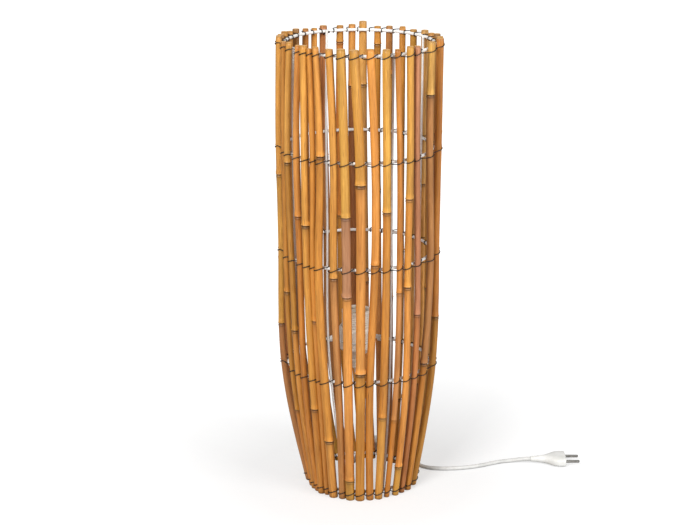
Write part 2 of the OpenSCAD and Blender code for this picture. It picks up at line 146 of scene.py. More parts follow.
def rounded_outline(corners, radius, steps=4):
    """A closed outline with each corner replaced by a small curve."""
    count = len(corners)
    points = []
    for i, corner in enumerate(corners):
        here = Vector(corner)
        before = Vector(corners[i - 1]) - here
        after = Vector(corners[(i + 1) % count]) - here
        reach = min(radius, before.length * 0.45, after.length * 0.45)
        start = here + before.normalized() * reach
        end = here + after.normalized() * reach
        for s in range(steps + 1):
            t = s / steps
            points.append((1 - t) ** 2 * start + 2 * t * (1 - t) * here + t * t * end)
    return [tuple(p) for p in points]


def finely(outline, step):
    """The same closed outline with points at least every step along it."""
    points = []
    for i, start in enumerate(outline):
        start, end = Vector(start), Vector(outline[(i + 1) % len(outline)])
        parts = max(1, math.ceil((end - start).length / step))
        points += [tuple(start.lerp(end, s / parts)) for s in range(parts)]
    return points


def add_run(data, run, diameter, kind="BEZIER", loop=False):
    """One more round wire in a curve, along a run of points."""
    spline = data.splines.new(kind)
    if kind == "BEZIER":
        spline.bezier_points.add(len(run) - 1)
        for point, place in zip(spline.bezier_points, run):
            point.co = place
            point.radius = diameter / 2
            point.handle_left_type = point.handle_right_type = "AUTO"
    else:
        spline.points.add(len(run) - 1)
        for point, place in zip(spline.points, run):
            point.co = (*place, 1)
            point.radius = diameter / 2
    spline.use_cyclic_u = loop
    spline.use_smooth = True


def wire_curve(name, runs, diameter, kind="BEZIER", loops=(), sides=4):
    """Round wires, one spline for each run of points. loops says which runs are closed. The
    curve's own depth is 1 m, and each point's radius scales it down to the wire's."""
    data = bpy.data.curves.new(name, "CURVE")
    data.dimensions = "3D"
    data.bevel_depth = 1
    data.bevel_resolution = sides
    data.use_fill_caps = True
    for index, run in enumerate(runs):
        add_run(data, run, diameter, kind, index in loops)
    return data


# ---- materials ----


def shader_node(owner, kind, **values):
    """A new shader node in a material or the world. values are its settings, or what its
    sockets hold, by name."""
    node = owner.node_tree.nodes.new("ShaderNode" + kind)
    for key, value in values.items():
        socket = key.replace("_", " ")
        if hasattr(node, key):
            setattr(node, key, value)
        else:
            node.inputs[socket].default_value = value
    return node


def join(owner, source, output, target, socket):
    """Links an output of one node to a socket of another."""
    owner.node_tree.links.new(source.outputs[output], target.inputs[socket])


def add_ramp(owner, start, end):
    """A colour ramp between two stops, each of them a position and a colour."""
    ramp = shader_node(owner, "ValToRGB")
    for element, (position, colour) in zip(ramp.color_ramp.elements, (start, end)):
        element.position = position
        element.color = (*colour, 1)
    return ramp


def new_material(name, **sockets):
    """A new material and its main shader, with some of the shader's sockets set."""
    material = bpy.data.materials.new(name)
    material.use_nodes = True
    shader = material.node_tree.nodes["Principled BSDF"]
    for key, value in sockets.items():
        shader.inputs[key.replace("_", " ")].default_value = value
    return material, shader


def linear(red, green, blue):
    """A colour given as seen on a screen, 0 to 1, as the light it stands for."""
    return [((c + 0.055) / 1.055) ** 2.4 if c > 0.04 else c / 12.92 for c in (red, green, blue)]


def moulded(name, light, dark, rough=0.42, pits=1400.0, **sockets):
    """Plastic, paint or metal: two close tones, patchy gloss and a fine surface texture."""
    material, shader = new_material(name, **sockets)
    place = shader_node(material, "TexCoord")
    patches = shader_node(material, "TexNoise", Scale=70.0, Detail=6.0, Roughness=0.6)
    tone = add_ramp(material, (0.35, dark), (0.65, light))
    gloss = shader_node(material, "MapRange", To_Min=rough - 0.08, To_Max=rough + 0.1)
    pit = shader_node(material, "TexNoise", Scale=pits, Detail=3.0)
    height = shader_node(material, "Bump", Strength=0.5, Distance=0.00004)
    join(material, place, "Object", patches, "Vector")
    join(material, place, "Object", pit, "Vector")
    join(material, patches, "Fac", tone, "Fac")
    join(material, patches, "Fac", gloss, "Value")
    join(material, pit, "Fac", height, "Height")
    join(material, tone, "Color", shader, "Base Color")
    join(material, gloss, "Result", shader, "Roughness")
    join(material, height, "Normal", shader, "Normal")
    return material


# A colour Mix node's sockets, by number, as its number sockets have the same names.
MIX_SHARE, MIX_BELOW, MIX_OVER, MIX_RESULT = 0, 6, 7, 2


def cane_skin():
    """The canes' outside. Their meshes carry its tint, and grain, where each point lies in
    its own cane with the length squeezed, so that noise makes long fibres."""
    material, shader = new_material("cane_skin", Coat_Weight=0.12, Coat_Roughness=0.35)
    tint = shader_node(material, "Attribute", attribute_name="tint")
    grain = shader_node(material, "Attribute", attribute_name="grain")
    fibre = shader_node(material, "TexNoise", Scale=1500.0, Detail=5.0, Roughness=0.65)
    cloud = shader_node(material, "TexNoise", Scale=260.0, Detail=4.0, Roughness=0.6)
    speck = shader_node(material, "TexNoise", Scale=950.0, Detail=2.0)
    layers = [
        (fibre, (0.3, (0.7, 0.62, 0.52)), (0.68, (1.08, 1.08, 1.08))),
        (cloud, (0.34, (0.8, 0.72, 0.62)), (0.62, (1.06, 1.06, 1.04))),
        (speck, (0.29, (0.5, 0.4, 0.3)), (0.34, (1, 1, 1))),
    ]
    below, output = tint, "Color"
    for texture, start, end in layers:
        ramp = add_ramp(material, start, end)
        mix = shader_node(material, "Mix", data_type="RGBA", blend_type="MULTIPLY")
        mix.inputs[MIX_SHARE].default_value = 1.0
        join(material, grain, "Vector", texture, "Vector")
        join(material, texture, "Fac", ramp, "Fac")
        join(material, below, output, mix, MIX_BELOW)
        join(material, ramp, "Color", mix, MIX_OVER)
        below, output = mix, MIX_RESULT
    join(material, below, output, shader, "Base Color")
    gloss = shader_node(material, "MapRange", To_Min=0.36, To_Max=0.6)
    join(material, cloud, "Fac", gloss, "Value")
    join(material, gloss, "Result", shader, "Roughness")
    height = shader_node(material, "Bump", Strength=0.6, Distance=0.00012)
    join(material, fibre, "Fac", height, "Height")
    join(material, height, "Normal", shader, "Normal")
    return material


def cane_cut():
    """The sawn end of a cane: pale, with the dark dots of its fibre bundles."""
    material, shader = new_material("cane_cut", Roughness=0.8)
    place = shader_node(material, "TexCoord")
    dots = shader_node(material, "TexVoronoi", Scale=1300.0)
    ramp = add_ramp(
        material, (0.12, linear(0.62, 0.42, 0.22)), (0.4, linear(0.90, 0.70, 0.44))
    )
    height = shader_node(material, "Bump", Strength=0.5, Distance=0.0001)
    join(material, place, "Object", dots, "Vector")
    join(material, dots, "Distance", ramp, "Fac")
    join(material, ramp, "Color", shader, "Base Color")
    join(material, dots, "Distance", height, "Height")
    join(material, height, "Normal", shader, "Normal")
    return material


CANE_SKIN = cane_skin()
CANE_CUT = cane_cut()
FINISH = {
    "white_steel": moulded(
        "white_paint", linear(0.99, 0.99, 0.98), linear(0.93, 0.93, 0.91), pits=500.0
    ),
    "dark_wire": moulded(
        "annealed_wire",
        linear(0.30, 0.27, 0.25),
        linear(0.14, 0.12, 0.11),
        rough=0.5,
        pits=2500.0,
        Metallic=0.7,
    ),
    "holder_cream": moulded(
        "cream_plastic", linear(0.97, 0.94, 0.89), linear(0.92, 0.88, 0.81), rough=0.36
    ),
    "grip_cream": moulded(
        "grip_plastic", linear(0.93, 0.90, 0.84), linear(0.87, 0.83, 0.76), rough=0.5
    ),
    "insulator_white": moulded(
        "glazed_block", linear(0.95, 0.94, 0.91), linear(0.88, 0.86, 0.82), rough=0.3
    ),
    "brass": moulded(
        "rolled_brass",
        linear(0.86, 0.72, 0.38),
        linear(0.70, 0.55, 0.26),
        rough=0.3,
        Metallic=1.0,
    ),
    "flex_white": moulded(
        "flex_sheath", linear(0.88, 0.88, 0.87), linear(0.80, 0.80, 0.79), rough=0.45
    ),
    "tie_grey": moulded(
        "tie_strap", linear(0.27, 0.27, 0.28), linear(0.17, 0.17, 0.18), rough=0.7, pits=3000.0
    ),
    "switch_white": moulded(
        "switch_shell", linear(0.94, 0.94, 0.92), linear(0.89, 0.89, 0.86), rough=0.46
    ),
    "rocker_white": moulded(
        "rocker_key", linear(0.97, 0.97, 0.96), linear(0.92, 0.92, 0.91), rough=0.28
    ),
    "plug_white": moulded(
        "plug_plastic", linear(0.94, 0.94, 0.93), linear(0.89, 0.89, 0.87), rough=0.44
    ),
    "pin_nickel": moulded(
        "nickel_plate",
        linear(0.84, 0.83, 0.80),
        linear(0.70, 0.69, 0.67),
        rough=0.25,
        Metallic=1.0,
    ),
}


# Corners nearer than this are one corner, and edges sharper than this angle are rounded.
SEAM_MM = 0.002
SHARP_DEGREES = 35


def dress(node, edge_mm):
    """A CAD node that stays in view takes its slot's finish and has its edges rounded."""
    obj = frame["nodes"][node]
    obj.data.materials.clear()
    obj.data.materials.append(FINISH[SLOT_OF[node]])
    seams = obj.modifiers.new("seams", "WELD")
    seams.merge_threshold = SEAM_MM * MM
    rounding = obj.modifiers.new("rounding", "BEVEL")
    rounding.width = edge_mm * MM
    rounding.segments = 3
    rounding.limit_method = "ANGLE"
    rounding.angle_limit = math.radians(SHARP_DEGREES)
    rounding.harden_normals = True
    for polygon in obj.data.polygons:
        polygon.use_smooth = True


# ---- camera ----

# How far it looks down was fitted to the hoops in the photo.
DOWN_DEGREES = 16.8
camera = bpy.data.objects.new("camera", bpy.data.cameras.new("camera"))
scene.collection.objects.link(camera)
camera.data.sensor_width = 36
camera.data.lens = 97.7
camera.data.clip_end = 50
camera.location = (-0.0126, -2.396, 1.030)
camera.rotation_euler = (math.radians(90 - DOWN_DEGREES), 0, 0)
scene.camera = camera


# ---- flex ----

# The route follows the CAD's, in millimetres: down from the grip to the coil, round the
# coil, and through the switch to the plug, with the bend after the switch eased. Where it
# lies on the floor, ON_FLOOR_MM is the height of its middle.
FLEX_MM = 5.5
ON_FLOOR_MM = 2.8
FLEX_TO_COIL_MM = [
    (-4, 0, 171), (-4, 0, 156), (-1, -1, 140), (4.5, -3, 120), (8.5, -4, 98),
    (8, -1, 76), (4, 5, 55), (0, 14, 36), (-4, 26, 19), (-7, 39, 8),
    (-8.5, 52, 3.5), (-9.5, 66, 2.8), (-10.5, 84, 2.8), (-10.8, 104, 2.8),
    (-10.5, 118, 2.8), (-10.7, 130, 2.8), (-12.2, 138, 2.8),
]  # fmt: skip
FLEX_TO_PLUG_MM = [
    (-50, 93.5, 8.3), (-32, 94, 8.3), (-14, 95.5, 8.6), (-2, 96, 9), (24, 96, 9),
    (45, 96, 9), (57, 94.6, 8.3), (66.5, 89.5, 6.4), (73, 81.5, 4.3), (75.8, 71, 2.9),
    (76.4, 59, 2.8), (78.6, 47, 2.8), (84.6, 36.5, 2.8), (94, 29.5, 2.8), (106, 26, 2.8),
    (120, 25.3, 2.8),
    (137, 27, 2.8), (154, 31, 2.8), (170, 37, 2.8), (184, 44, 2.8),
    (197, 50, 2.8), (210, 53, 3), (224, 52, 5.2), (238, 50, 7), (246, 50, 7),
]  # fmt: skip
COIL_MM = (-50, 130)
OUTER_TURN_MM = 36.5
TURN_GAP_MM = 5.6
# The flex comes into the coil this far outside its outer turn, and eases in.
LEAD_IN_MM = 2.8
LEAD_IN_DEGREES = 40
# Three turns are wound inwards on the floor and three outwards on top of them. These are
# the degrees of winding where a turn starts to step (outwards, upwards).
COIL_STEPS = {300: (-1, 0), 660: (-1, 0), 990: (0, 1), 1320: (1, 0), 1680: (1, 0)}
COIL_TURNED = range(24, 2070, 15)
STEP_DEGREES = 120


def coil_point(turned):
    """Where the flex lies after that many degrees of winding, in millimetres."""
    r = OUTER_TURN_MM + LEAD_IN_MM * (1 - ease(turned / LEAD_IN_DEGREES))
    z = ON_FLOOR_MM
    for start, (out, up) in COIL_STEPS.items():
        done = ease((turned - start) / STEP_DEGREES)
        r += out * TURN_GAP_MM * done
        z += up * FLEX_MM * done
    a = math.radians(turned)
    return COIL_MM[0] + r * math.cos(a), COIL_MM[1] + r * math.sin(a), z


flex_route = FLEX_TO_COIL_MM + [coil_point(t) for t in COIL_TURNED] + FLEX_TO_PLUG_MM
flex = add_piece(
    "flex",
    wire_curve("flex", [[Vector(p) * MM for p in flex_route]], FLEX_MM * MM),
    [FINISH["flex_white"]],
    "flex_lamp_end",
    also=("flex_coil", "flex_plug_end"),
)
flex.data.resolution_u = 6

# ---- canes ----

HOOPS = ["hoop_top", "hoop_upper", "hoop_middle", "hoop_shoulder", "hoop_bottom"]
HOOP_AT = [middle(hoop).z for hoop in HOOPS]
HOOP_MIDDLE = [middle(hoop) for hoop in HOOPS]
HOOP_WIRE = (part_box("hoop_top")[1].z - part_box("hoop_top")[0].z) / 2
HOOP_RADIUS = [(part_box(hoop)[1].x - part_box(hoop)[0].x) / 2 - HOOP_WIRE for hoop in HOOPS]
CANES = sorted(node for node in frame["nodes"] if node.startswith("cane_"))
TONES = {
    "g": linear(0.87, 0.63, 0.29),
    "a": linear(0.82, 0.565, 0.23),
    "r": linear(0.76, 0.53, 0.30),
    "t": linear(0.88, 0.67, 0.36),
    "p": linear(0.75, 0.54, 0.39),
    "b": linear(0.63, 0.43, 0.21),
}
SLOT_TONE = {"cane_golden": "g", "cane_amber": "a", "cane_reddish": "r", "cane_tan": "t"}
# The tone of each length between joints, from the top down, on the canes seen in front.
LENGTH_TONES = {
    "cane_01": "ggr", "cane_02": "aaa", "cane_03": "gag", "cane_04": "ga", "cane_05": "gga",
    "cane_06": "aa", "cane_07": "gag", "cane_08": "gr", "cane_09": "gpgg", "cane_10": "gga",
    "cane_11": "ga", "cane_12": "gag", "cane_13": "ara", "cane_14": "gggg", "cane_15": "pr",
    "cane_16": "tra", "cane_17": "aa",
}  # fmt: skip
CANE_SIDES = 22
# How much thinner a cane is at its top than at its foot, where that shows, the height from
# which it thins and over how much of its length.
TAPER = {"cane_07": 0.28}
TAPER_FROM = 0.2
TAPER_OVER = 0.4
# A CAD cane's corners that stand out by more than this belong to a joint, and those nearer
# than this along the cane belong to the same one.
JOINT_OUT = 0.33 * MM
JOINT_APART = 6 * MM
# A cane's sawn edge is worn off this far in and this far along.
WORN_IN = 0.35 * MM
WORN_ALONG = 0.5 * MM
# A bud stands out this far, and its middle is this high over its joint.
BUD_OUT = 1.1 * MM
BUD_UP_MM = 2.6
# How plainly the joints of some canes stand out.
JOINT_STRENGTH = {
    "cane_03": 1.4, "cane_05": 1.5, "cane_07": 1.5, "cane_10": 1.6, "cane_14": 1.3,
    "cane_16": 1.4, "cane_13": 0.7, "cane_11": 0.9,
}  # fmt: skip


def hoop_spot(level, turn, out, up):
    """The point at a turn round a hoop, out from the middle of its wire and up from it."""
    return HOOP_MIDDLE[level] + spot(turn, HOOP_RADIUS[level] + out, up)


def section(co, edges, z):
    """The middle and half width of a CAD cane where the level plane at z cuts it."""
    a, b = co[edges[:, 0]], co[edges[:, 1]]
    cut = (a[:, 2] - z) * (b[:, 2] - z) < 0
    a, b = a[cut], b[cut]
    hits = a + (b - a) * (z - a[:, 2:]) / (b[:, 2:] - a[:, 2:])
    low, high = hits.min(0), hits.max(0)
    return (low + high) / 2, float((high - low)[:2].max()) / 2


def bend_through(heights, places):
    """The way a springy rod lies when it is held at places: a function of height. Outside
    the first and last it runs straight on."""
    gaps = np.diff(heights)
    count = len(heights)
    system, load = np.eye(count), np.zeros_like(places)
    for i in range(1, count - 1):
        system[i, i - 1 : i + 2] = gaps[i - 1], 2 * (gaps[i - 1] + gaps[i]), gaps[i]
        rise = (places[i + 1] - places[i]) / gaps[i]
        load[i] = 6 * (rise - (places[i] - places[i - 1]) / gaps[i - 1])
    curl = np.linalg.solve(system, load)

    def at(z):
        i = int(np.clip(np.searchsorted(heights, z) - 1, 0, count - 2))
        g, u = gaps[i], z - heights[i]
        slope = (places[i + 1] - places[i]) / g - g * (2 * curl[i] + curl[i + 1]) / 6
        if u < 0:
            return places[i] + slope * u
        if u > g:
            slope = slope + g * (curl[i] + curl[i + 1]) / 2
            return places[i + 1] + slope * (u - g)
        return places[i] + u * (slope + u * (curl[i] / 2 + u * (curl[i + 1] - curl[i]) / 6 / g))

    return at


def measure_cane(node):
    """A CAD cane's line, girth (its radius at a height), ends, joint heights, and the places
    where the hoops hold it."""
    data = frame["nodes"][node].data
    co = np.array([v.co for v in data.vertices], float)
    edges = np.array([e.vertices for e in data.edges])
    low, high = (corner.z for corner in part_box(node))
    aside = 0.05 * MM  # so that no corner lies in the plane of a cut
    cuts = [section(co, edges, z + aside) for z in HOOP_AT]
    places = np.array([c[0][:2] for c in cuts][::-1])
    heights = np.array(HOOP_AT[::-1])
    radius = cuts[0][1]
    straight = np.array([np.interp(co[:, 2], heights, places[:, k]) for k in range(2)]).T
    inside = (co[:, 2] > heights[0]) & (co[:, 2] < heights[-1])
    away = np.linalg.norm(co[:, :2] - straight, axis=1)
    stands_out = sorted(co[inside & (away > radius + JOINT_OUT), 2])
    joints = []
    for z in stands_out:
        if joints and z - joints[-1][-1] < JOINT_APART:
            joints[-1].append(z)
        else:
            joints.append([z])
    loss = TAPER.get(node, 0)

    def girth(z):
        return radius * (1 - loss * ease((z - TAPER_FROM) / TAPER_OVER))

    held = []
    for place, hoop in zip(cuts, HOOP_MIDDLE):
        inwards = Vector((hoop.x - place[0][0], hoop.y - place[0][1])).normalized()
        held.append(Vector(place[0][:2]) + inwards * (radius - girth(hoop.z)))
    return {
        "line": bend_through(heights, np.array(held[::-1])),
        "girth": girth,
        "low": low,
        "high": high,
        "joints": [float(np.mean(z)) for z in joints],
        "held": held,
    }


def joint_swell(dz, strong):
    """How far a joint stands out, dz above its ring, in millimetres: the ring itself, the
    groove under it, the scar that its sheath left and the thickening round them."""
    mm = dz / MM
    ring = 0.5 * bump(mm, 0.8) - 0.38 * bump(mm + 1.6, 0.6) + 0.34 * bump(mm + 3, 0.8)
    return strong * (ring + 0.26 * bump(mm, 7))


def joint_shade(dz, strong):
    """How dark the skin is near a joint: black in its groove, brown below, pale above."""
    mm = dz / MM
    dark = 0.62 * bump(mm + 1.2, 1.1) + 0.34 * bump(mm + 3.9, 0.8)
    stain = 0.3 * math.exp(mm / 8) if mm < 0 else 0
    bloom = 0.14 * bump(mm - 3.5, 3)
    return max(0.12, 1 - strong * (dark + stain * (1 - dark)) + strong * bloom)


def cane_heights(cane):
    """Heights for the rings of a cane's mesh, close together round its joints."""
    apart, near_joint, least = 4 * MM, 0.55 * MM, 0.4 * MM
    low, high = cane["low"] + WORN_ALONG, cane["high"] - WORN_ALONG
    steps = int((high - low) / apart)
    heights = {round(low + (high - low) * i / steps, 6) for i in range(steps + 1)}
    for joint in cane["joints"]:
        for i in range(-16, 17):
            heights.add(round(joint + near_joint * i, 6))
    wanted = sorted(z for z in heights if low <= z <= high)
    kept = [wanted[0]]
    for z in wanted[1:-1]:
        if z - kept[-1] > least and wanted[-1] - z > least:
            kept.append(z)
    return [*kept, wanted[-1]]


def build_cane(node):
    """One cane over its CAD cane, with joints, buds, an uneven girth and a tint for each of
    its lengths. Gives back its measures."""
    cane = measure_cane(node)
    chance = random.Random(node)
    phase = chance.uniform(0, 100)
    taper = chance.uniform(-0.04, 0.04)
    strength = JOINT_STRENGTH.get(node, 1.1)
    strong = {joint: strength * chance.uniform(0.85, 1.15) for joint in cane["joints"]}
    buds = {joint: chance.uniform(0, math.tau) for joint in cane["joints"]}
    tones = LENGTH_TONES.get(node)
    if tones is None:
        usual = SLOT_TONE[SLOT_OF[node]]
        tones = "".join(
            chance.choice([usual, usual, usual, "b", "t"]) for _ in range(len(strong) + 1)
        )
    shades = [
        [c * chance.uniform(0.9, 1.08) for c in TONES[tones[min(i, len(tones) - 1)]]]
        for i in range(len(strong) + 1)
    ]
    descending = sorted(cane["joints"], reverse=True)
    low, high = cane["low"], cane["high"]
    rings, tints, grains = [], [], []

    def ring_at(z, inset):
        """One ring of the mesh: its points, their tints, and where they lie in the grain."""
        x, y = cane["line"](z)
        share = (z - low) / (high - low)
        radius = cane["girth"](z)
        r = radius * (1 + taper * (share - 0.5))
        r += radius * 0.03 * noise.noise((phase, z * 30, 0))
        r += sum(joint_swell(z - j, strong[j]) for j in strong) * MM
        points, colours, lies = [], [], []
        index = sum(z < j for j in descending)
        tone = shades[index]
        shade = 1 + 0.10 * noise.noise((phase, z * 14, 5))
        for j in strong:
            shade *= joint_shade(z - j, strong[j])
        # Painted shade: the tint is darker at the sawn top and over the last few millimetres of
        # the foot, where it stands on the floor.
        shade *= 1 - 0.25 * bump((z - high) / MM, 1.2) - 0.35 * bump((z - low) / MM, 4)
        for k in range(CANE_SIDES):
            a = math.tau * k / CANE_SIDES
            ca, sa = math.cos(a), math.sin(a)
            out = r - inset
            for j in strong:
                around = math.cos(a - buds[j])
                above = (z - j) / MM
                if around > 0 and 0 < above < 9:
                    out += BUD_OUT * around**14 * bump(above - BUD_UP_MM, 2.2)
            out += radius * 0.035 * noise.noise((phase + ca * 1.1, sa * 1.1, z * 20))
            points.append((x + out * ca, y + out * sa, z))
            patch = 1 + 0.16 * noise.noise((phase + ca * 0.8, sa * 0.8 + 9, z * 22))
            colours.append([min(c * shade * patch, 1.0) for c in tone] + [1])
            lies.append((ca * radius + phase, sa * radius, z * 0.035))
        return points, colours, lies

    heights = cane_heights(cane)
    levels = [(low, WORN_IN), *((z, 0) for z in heights), (high, WORN_IN)]
    for z, inset in levels:
        points, colours, lies = ring_at(z, inset)
        rings.append(points)
        tints += colours
        grains += lies
    name = node.replace("cane", "stalk")
    mesh = skin_mesh(name, rings, cap_slot=1)
    tint = mesh.attributes.new("tint", "FLOAT_COLOR", "POINT")
    tint.data.foreach_set("color", np.array(tints, np.float32).ravel())
    grain = mesh.attributes.new("grain", "FLOAT_VECTOR", "POINT")
    grain.data.foreach_set("vector", np.array(grains, np.float32).ravel())
    add_piece(name, mesh, [CANE_SKIN, CANE_CUT], node)
    return cane


canes = [build_cane(node) for node in CANES]

# ---- hoops, uprights and binding wire ----


def build_hoop(level):
    """A hoop of round wire, slightly thicker where its ends are welded together."""
    radius, centre = HOOP_RADIUS[level], HOOP_MIDDLE[level]
    weld = math.radians(100)
    steps, sides = 200, 14
    rings = []
    for k in range(steps):
        a = math.tau * k / steps
        lump = 1 + 0.06 * bump(a - weld, 0.02)
        ring = []
        for s in range(sides):
            b = math.tau * s / sides
            r = radius + HOOP_WIRE * lump * math.cos(b)
            out = Vector((r * math.cos(a), r * math.sin(a), HOOP_WIRE * math.sin(b)))
            ring.append(centre + out)
        rings.append(ring)
    name = HOOPS[level] + "_wire"
    mesh = skin_mesh(name, rings, loop=True)
    add_piece(name, mesh, [FINISH["white_steel"]], HOOPS[level])


for level in range(len(HOOPS)):
    build_hoop(level)

LACING_MM = 1.2
SLACK = 0.1 * MM
# Across the front of a cane it turns this far to each side, and climbs this far from the middle.
CROSSING_DEGREES = 72
CROSSING_RISE = 2.1 * MM


def lacing_run(level):
    """One binding wire: across the front of a cane, over the hoop into the gap beside it,
    down behind the hoop and out underneath it to the next cane."""
    half = LACING_MM * MM / 2
    clear = HOOP_WIRE + half + SLACK
    steepest = math.sin(math.radians(CROSSING_DEGREES))
    centre = HOOP_MIDDLE[level]
    points = []
    for i, cane in enumerate(canes):
        place = cane["held"][level].to_3d()
        following = canes[(i + 1) % len(canes)]["held"][level].to_3d()
        place.z = following.z = centre.z
        out = (place - centre).normalized()
        side = Vector((-out.y, out.x, 0))
        reach = cane["girth"](centre.z) + half + SLACK
        for a in (-CROSSING_DEGREES, -45, -15, 15, 45, CROSSING_DEGREES):
            rad = math.radians(a)
            lift = Vector((0, 0, CROSSING_RISE * math.sin(rad) / steepest))
            points.append(place + reach * (out * math.cos(rad) + side * math.sin(rad)) + lift)
        gap = ((place + following) / 2 - centre).normalized()
        for a in (60, 120, 180, 240, 300):
            rad = math.radians(a)
            r = HOOP_RADIUS[level] + clear * math.cos(rad)
            points.append(centre + gap * r + Vector((0, 0, clear * math.sin(rad))))
    return points


TAIL = 9 * MM
TAIL_STEPS = 24


def twisted_end(level, turn):
    """Where a wire begins and ends, its two tails are twisted together and bent inwards."""
    twist = 0.9  # radians for each step
    aside_mm = 0.62
    start = hoop_spot(level, turn, -HOOP_WIRE, -1 * MM)
    along = (spot(turn + 78, 1, 0) - Vector((0, 0, 0.35))).normalized()
    across = along.cross(Vector((0, 0, 1))).normalized()
    up = across.cross(along)
    runs = []
    for strand in (0, math.pi):
        run = []
        for t in range(TAIL_STEPS + 1):
            a = t * twist + strand
            aside = (across * math.cos(a) + up * math.sin(a)) * aside_mm * MM
            run.append(start + along * (TAIL * t / TAIL_STEPS) + aside)
        runs.append(run)
    return runs


TWIST_TURNS = (204, 150, 215, 141, 212)
lacing = [lacing_run(level) for level in range(len(HOOPS))]
lacing_data = wire_curve("binding_wires", lacing, LACING_MM * MM, sides=2)
for level, turn in enumerate(TWIST_TURNS):
    for run in twisted_end(level, turn):
        add_run(lacing_data, run, LACING_MM * MM)
lacing_data.resolution_u = 3
add_piece("binding_wires", lacing_data, [FINISH["dark_wire"]], "lacing_wires")

# The upright wires are welded inside the hoops, and their line eases round each bend.
UPRIGHT_TURNS = (27, 117, 207, 297)
UPRIGHT_MM = 3
UPRIGHT_STEPS = 260
# The weld lets the wires sink into each other this far, and swells the upright round it.
WELD_SINK = 0.3 * MM
WELD_SWELL = 0.28
WELD_REACH_MM = 2.2


def upright_run(turn):
    """An upright's line through its five welds, from the lowest hoop to the highest."""
    inset = UPRIGHT_MM * MM / 2 + HOOP_WIRE - WELD_SINK
    places = [hoop_spot(level, turn, -inset, 0) for level in range(len(HOOPS))][::-1]
    line = bend_through(np.array(HOOP_AT[::-1]), np.array([p[:2] for p in places]))
    low, high = HOOP_AT[-1] - HOOP_WIRE, HOOP_AT[0] + HOOP_WIRE
    heights = [low + (high - low) * i / UPRIGHT_STEPS for i in range(UPRIGHT_STEPS + 1)]
    return [(*line(z), z) for z in heights]


uprights = wire_curve(
    "upright_wires", [upright_run(turn) for turn in UPRIGHT_TURNS], UPRIGHT_MM * MM, "POLY"
)
for spline in uprights.splines:
    for point in spline.points:
        weld = max(bump((point.co.z - z) / MM, WELD_REACH_MM) for z in HOOP_AT)
        point.radius *= 1 + WELD_SWELL * weld
add_piece("upright_wires", uprights, [FINISH["white_steel"]], "uprights")

# ---- lampholder ----

holder = middle("holder_skirt")
holder.z = 0


def outline_of(corners, base, edge_mm):
    """A lampholder part's outline, from (radius, height) corners in millimetres over base."""
    outline = rounded_outline([(r * MM, base + z * MM) for r, z in corners], edge_mm * MM)
    return finely(outline, 0.5 * MM)


def build_turned(name, node, corners, edge_mm=0.7, sides=96, shift=None, body="root"):
    """A turned part of the lampholder, standing on the foot of its CAD node."""
    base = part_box(node)[0].z
    mesh = lathe_mesh(name, outline_of(corners, base, edge_mm), holder, sides, shift)
    return add_piece(name, mesh, [FINISH[SLOT_OF[node]]], node, body=body)


THREAD_PITCH = 3 * MM
THREAD_DEPTH = 0.9 * MM
RIBS = 60
RIB_DEPTH = 0.5 * MM
FLUTES = 14
FLUTE_DEPTH = 0.45 * MM
SKIRT_LOW, SKIRT_HIGH = (corner.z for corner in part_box("holder_skirt"))
GRIP_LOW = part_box("cord_grip")[0].z


def skirt_thread(r, z, a):
    """The skirt's outside thread, from under the lower ring to just below the mouth."""
    if r < 19.2 * MM:
        return 0
    above, below = (z - SKIRT_LOW) / MM, (SKIRT_HIGH - z) / MM
    fade = ease((above - 1) / 2) * ease((below - 3.5) / 2)
    phase = math.tau * z / THREAD_PITCH - a
    return -THREAD_DEPTH * fade * (0.5 - 0.5 * math.cos(phase))


def ring_ribs(r, z, a):
    """Fine upright ribs round a shade ring's rim."""
    return -RIB_DEPTH * (0.5 - 0.5 * math.cos(RIBS * a)) if r > 23.6 * MM else 0


def grip_ribs(r, z, a):
    """The grip's flutes, between its two plain ends."""
    along = (z - GRIP_LOW) / MM
    inside = ease((along - 2.5) / 1.5) * ease((9 - along) / 1.5)
    return -FLUTE_DEPTH * inside * (0.5 - 0.5 * math.cos(FLUTES * a)) if r > 4 * MM else 0


SKIRT_TALL = (SKIRT_HIGH - SKIRT_LOW) / MM
build_turned(
    "threaded_skirt",
    "holder_skirt",
    [
        (17.5, 0), (19.5, 0), (19.5, SKIRT_TALL), (15.5, SKIRT_TALL),
        (15.5, SKIRT_TALL - 3), (17.5, SKIRT_TALL - 5),
    ],  # fmt: skip
    shift=skirt_thread,
)
build_turned(
    "upper_ring",
    "shade_ring_upper",
    [(19.8, 0), (24.5, 0), (24.5, 12), (21.5, 17), (19.8, 17)],
    sides=360,
    shift=ring_ribs,
    body="shade_ring",
)
build_turned(
    "lower_ring",
    "shade_ring_lower",
    [(19.8, 0), (20.5, 0), (24.5, 4), (24.5, 12), (19.8, 12)],
    sides=360,
    shift=ring_ribs,
)
build_turned(
    "base_cap",
    "holder_base",
    [
        (5, 0), (9.5, 0), (11, 3), (17.5, 9), (18.8, 13.9), (17.4, 13.9), (17.4, 19),
        (15.4, 19), (15.4, 12), (11, 9), (8, 5), (5, 5),
    ],  # fmt: skip
    edge_mm=0.9,
)
build_turned(
    "grip_sleeve",
    "cord_grip",
    [
        (2.85, 0), (5.4, 0), (6.7, 2), (7.2, 9), (8.4, 12), (8.4, 16), (4.9, 16),
        (4.9, 23), (2.85, 23),
    ],  # fmt: skip
    edge_mm=0.5,
    sides=112,
    shift=grip_ribs,
)

# The bracket: a ring between the shade rings, and arms that hook round the shoulder hoop.
BRACKET_MM = 3
RING_RADIUS = 22 * MM
KNEE_RADIUS = 30 * MM
RING_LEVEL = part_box("shade_ring_lower")[1].z + 2 * MM
# Each arm's turn, and how many degrees to each side of it stand the two turns of wire of its
# hook. At 0 the hook is a single turn.
ARM_TURNS = {1: 0, 161: 0.8, 203.5: 0.8}


